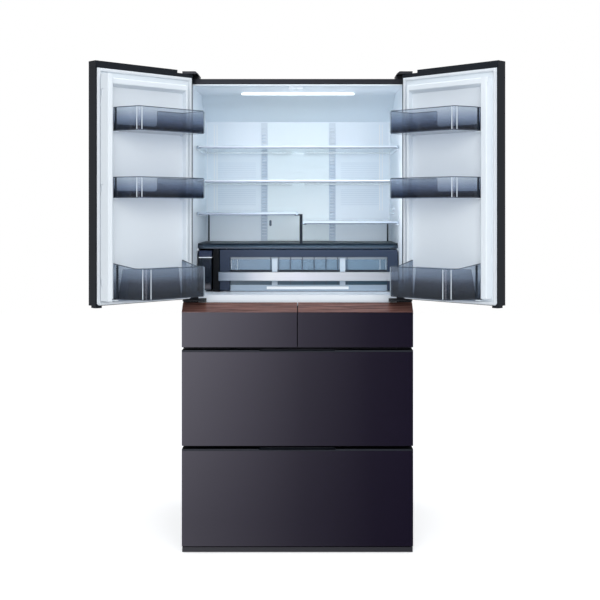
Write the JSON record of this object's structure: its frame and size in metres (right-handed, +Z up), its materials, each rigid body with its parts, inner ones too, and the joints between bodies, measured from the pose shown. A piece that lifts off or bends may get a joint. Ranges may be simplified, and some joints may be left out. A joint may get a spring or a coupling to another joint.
{
  "type": "multi-door refrigerator",
  "caption": "Free-standing refrigerator with two French doors standing open over four freezer drawers, with shelves, door bins, chilled case and water tank inside.",
  "frame": {"origin": "on the floor, under the centre of the box that holds the fridge with its doors open", "axes": "+X to the right as one faces the fridge, +Y from its front to its back, +Z up"},
  "size_m": [1.48, 1.0736, 1.833],
  "materials": {
    "case_steel": "dark satin paint",
    "rear_steel": "plain galvanised grey",
    "foam": "rigid foam",
    "liner_white": "moulded white",
    "partition_white": "satin white",
    "zinc_steel": "zinc plated",
    "black_plastic": "fine grain",
    "front_glass": "back painted, high gloss",
    "shelf_glass": "clear with pale trims",
    "smoke_plastic": "smoke tinted, clear",
    "clear_plastic": "clear",
    "tub_plastic": "milky",
    "navy_plastic": "satin dark blue grey",
    "brushed_aluminium": "brushed",
    "seal_rubber": "soft grey",
    "roller_plastic": "hard plastic",
    "light_lens": "milky lens",
    "duct_plastic": "satin",
    "compressor_black": "black enamel",
    "fin_aluminium": "plain",
    "fan_plastic": "moulded",
    "grey_plastic": "moulded"
  },
  "bodies": {
    "cabinet": {"outer_case": "case_steel", "rear_panels": "rear_steel", "base_plate": "zinc_steel", "insulation_foam": "foam", "fridge_liner": "liner_white", "freezer_liners": "liner_white", "upper_partition": "partition_white", "freezer_partitions": "partition_white", "door_hinges": "zinc_steel", "hinge_covers": "black_plastic", "kick_plate": "black_plastic", "front_feet": "black_plastic", "ceiling_light": "light_lens", "duct_panel": "duct_plastic", "shelf_upper": "shelf_glass", "shelf_middle": "shelf_glass", "shelf_lower_left": "shelf_glass", "shelf_lower_right": "shelf_glass", "chiller_cover": "navy_plastic", "ice_maker": "grey_plastic", "compressor": "compressor_black", "condenser": "fin_aluminium", "evaporator": "fin_aluminium", "drawer_rails": "zinc_steel"},
    "left_door": {"left_door_shell": "case_steel", "left_door_glass": "front_glass", "left_door_liner": "liner_white", "left_door_seal": "seal_rubber", "left_bin_upper": "smoke_plastic", "left_bin_middle": "smoke_plastic", "left_bin_lower": "smoke_plastic"},
    "flap": {"left_flap": "liner_white"},
    "right_door": {"right_door_shell": "case_steel", "right_door_glass": "front_glass", "right_door_liner": "liner_white", "right_door_seal": "seal_rubber", "right_bin_upper": "smoke_plastic", "right_bin_middle": "smoke_plastic", "right_bin_lower": "smoke_plastic"},
    "ice_drawer": {"ice_drawer_front": "case_steel", "ice_drawer_glass": "front_glass", "ice_drawer_tub": "tub_plastic"},
    "freeze_drawer": {"freeze_drawer_front": "case_steel", "freeze_drawer_glass": "front_glass", "freeze_drawer_tub": "tub_plastic"},
    "middle_drawer": {"middle_drawer_front": "case_steel", "middle_drawer_glass": "front_glass", "middle_drawer_tub": "tub_plastic"},
    "lower_drawer": {"lower_drawer_front": "case_steel", "lower_drawer_glass": "front_glass", "lower_drawer_tub": "tub_plastic"},
    "chilled_case": {"case_front": "navy_plastic", "case_handle": "brushed_aluminium", "case_tub": "clear_plastic"},
    "water_tank": {"water_tank": "smoke_plastic"},
    "ice_tray": {"ice_tray": "grey_plastic"},
    "roller_left": {"rear_roller_left": "roller_plastic"},
    "roller_right": {"rear_roller_right": "roller_plastic"},
    "condenser_fan": {"condenser_fan": "fan_plastic"},
    "evaporator_fan": {"evaporator_fan": "fan_plastic"}
  },
  "joints": [
    {"name": "left_door_hinge", "type": "hinge", "parent": "cabinet", "child": "left_door", "pos_m": [-0.426, -0.18116, 0.96], "axis": [0, 0, -1], "range_deg": [-135, 0]},
    {"name": "flap_hinge", "type": "hinge", "parent": "left_door", "child": "flap", "pos_m": [-0.68127, -0.50148, 0.985], "axis": [0, 0, 1], "range_deg": [-90, 0]},
    {"name": "right_door_hinge", "type": "hinge", "parent": "cabinet", "child": "right_door", "pos_m": [0.426, -0.18116, 0.96], "axis": [0, 0, 1], "range_deg": [-135, 0]},
    {"name": "ice_drawer_slide", "type": "slide", "parent": "cabinet", "child": "ice_drawer", "axis": [0, -1, 0], "range_m": [0, 0.33]},
    {"name": "freeze_drawer_slide", "type": "slide", "parent": "cabinet", "child": "freeze_drawer", "axis": [0, -1, 0], "range_m": [0, 0.33]},
    {"name": "middle_drawer_slide", "type": "slide", "parent": "cabinet", "child": "middle_drawer", "axis": [0, -1, 0], "range_m": [0, 0.38]},
    {"name": "lower_drawer_slide", "type": "slide", "parent": "cabinet", "child": "lower_drawer", "axis": [0, -1, 0], "range_m": [0, 0.38]},
    {"name": "chilled_case_slide", "type": "slide", "parent": "cabinet", "child": "chilled_case", "axis": [0, -1, 0], "range_m": [0, 0.22]},
    {"name": "water_tank_slide", "type": "slide", "parent": "cabinet", "child": "water_tank", "axis": [0, -1, 0], "range_m": [0, 0.24]},
    {"name": "ice_tray_turn", "type": "hinge", "parent": "cabinet", "child": "ice_tray", "pos_m": [-0.208, 0.17884, 0.891], "axis": [1, 0, 0], "range_deg": [0, 160]},
    {"name": "left_roller_spin", "type": "hinge", "parent": "cabinet", "child": "roller_left", "pos_m": [-0.4, 0.48884, 0.018], "axis": [1, 0, 0], "continuous": true},
    {"name": "right_roller_spin", "type": "hinge", "parent": "cabinet", "child": "roller_right", "pos_m": [0.4, 0.48884, 0.018], "axis": [1, 0, 0], "continuous": true},
    {"name": "condenser_fan_spin", "type": "hinge", "parent": "cabinet", "child": "condenser_fan", "pos_m": [0.15, 0.39884, 0.132], "axis": [0, 1, 0], "continuous": true},
    {"name": "evaporator_fan_spin", "type": "hinge", "parent": "cabinet", "child": "evaporator_fan", "pos_m": [0, 0.40484, 0.685], "axis": [0, 1, 0], "continuous": true}
  ],
  "couplings": [
    {"joint": "flap_hinge", "follows": "left_door_hinge", "ratio": 0.66667}
  ]
}
